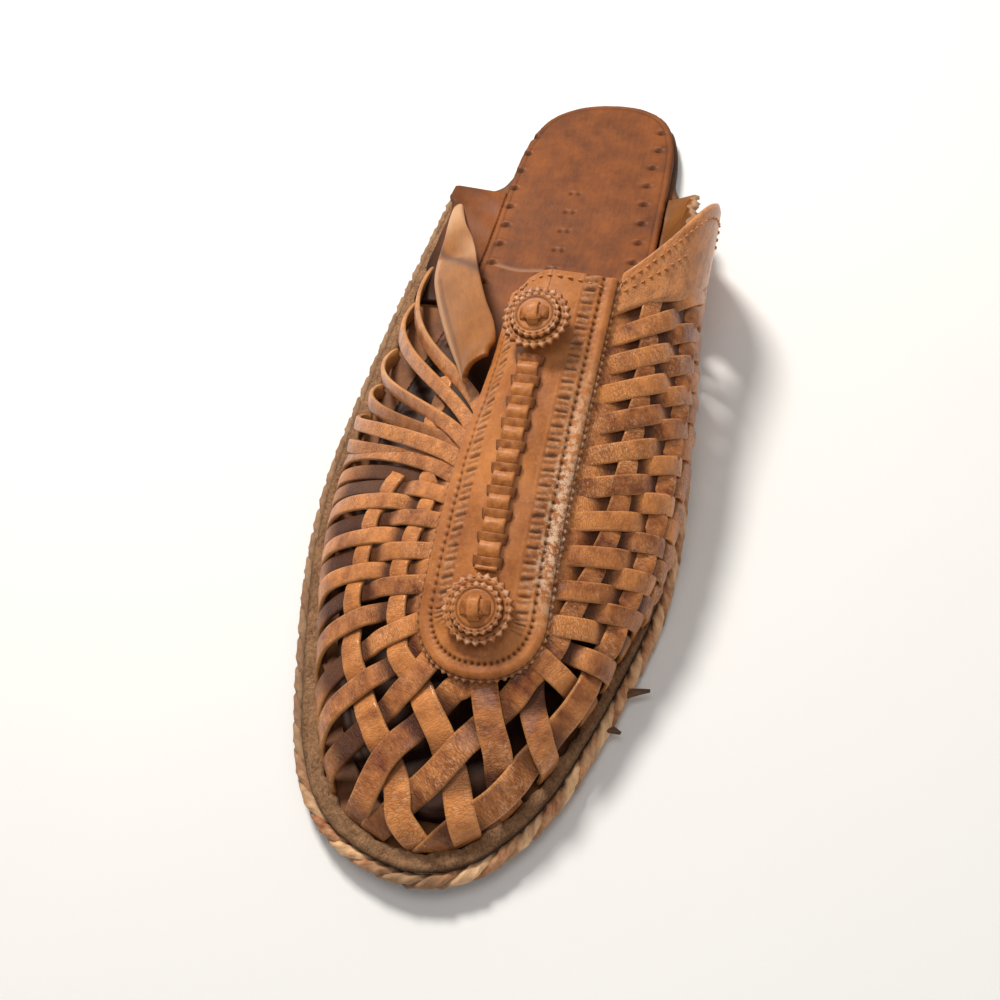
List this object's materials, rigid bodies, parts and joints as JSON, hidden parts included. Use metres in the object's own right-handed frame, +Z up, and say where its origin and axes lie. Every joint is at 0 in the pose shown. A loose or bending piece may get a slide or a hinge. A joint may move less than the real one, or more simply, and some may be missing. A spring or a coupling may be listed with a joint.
{
  "type": "woven leather mule",
  "caption": "Backless woven leather slip-on shoe with a closed lattice toe, a medallion panel over the instep, a flat leather sole and a braided edge; right foot.",
  "frame": {"origin": "on the floor under the middle of the shoe's length and width", "axes": "+Z up from the floor, toe points to -Y and heel to +Y, +X across the shoe to its medial side"},
  "size_m": [0.1044, 0.2738, 0.0639],
  "materials": {
    "sole_leather": "waxed, satin",
    "footbed_leather": "smooth, worn satin",
    "welt_suede": "rough flesh side, matt",
    "braid_leather": "waxed thong, satin",
    "lining_leather": "pale flesh side, semi-matt",
    "strip_leather": "crackled glaze, semi-gloss",
    "panel_leather": "tooled, semi-gloss",
    "thong_leather": "burnished, semi-gloss"
  },
  "bodies": {
    "root": {"outsole": "sole_leather", "insole": "footbed_leather", "welt": "welt_suede", "edge_braid": "braid_leather", "ear_left": "footbed_leather", "ear_right": "lining_leather", "upper": "strip_leather", "collar_band": "strip_leather", "collar_strap": "lining_leather", "panel": "panel_leather", "ladder": "thong_leather", "rosette_top_base": "panel_leather", "rosette_top_disc": "panel_leather", "rosette_top_knot": "thong_leather", "rosette_toe_base": "panel_leather", "rosette_toe_disc": "panel_leather", "rosette_toe_knot": "thong_leather"}
  },
  "joints": []
}
